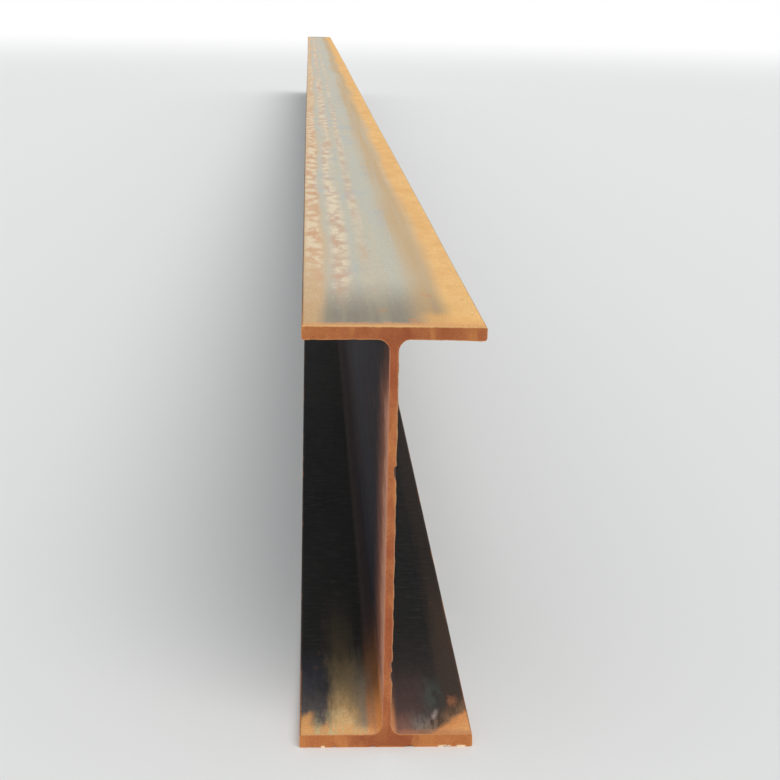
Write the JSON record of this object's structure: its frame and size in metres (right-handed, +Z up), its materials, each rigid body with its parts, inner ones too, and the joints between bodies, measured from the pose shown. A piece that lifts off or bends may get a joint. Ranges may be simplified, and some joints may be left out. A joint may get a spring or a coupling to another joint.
{
  "type": "steel h-beam",
  "caption": "Straight hot-rolled steel H-beam: a deep upright web between two equal parallel flanges, with rounded roots and saw-cut ends, standing on its lower flange.",
  "frame": {"origin": "centre of the beam's footprint, on the outer face of the lower flange", "axes": "+Y runs along the beam, +X runs across the flanges, +Z points up along the web's depth; the cut end shown in the picture faces -Y"},
  "size_m": [0.2, 12, 0.5],
  "materials": {
    "rolled_steel": "grey-brown mill scale with orange-brown rust, cut ends rusted all over"
  },
  "bodies": {
    "root": {"h_beam": "rolled_steel"}
  },
  "joints": []
}
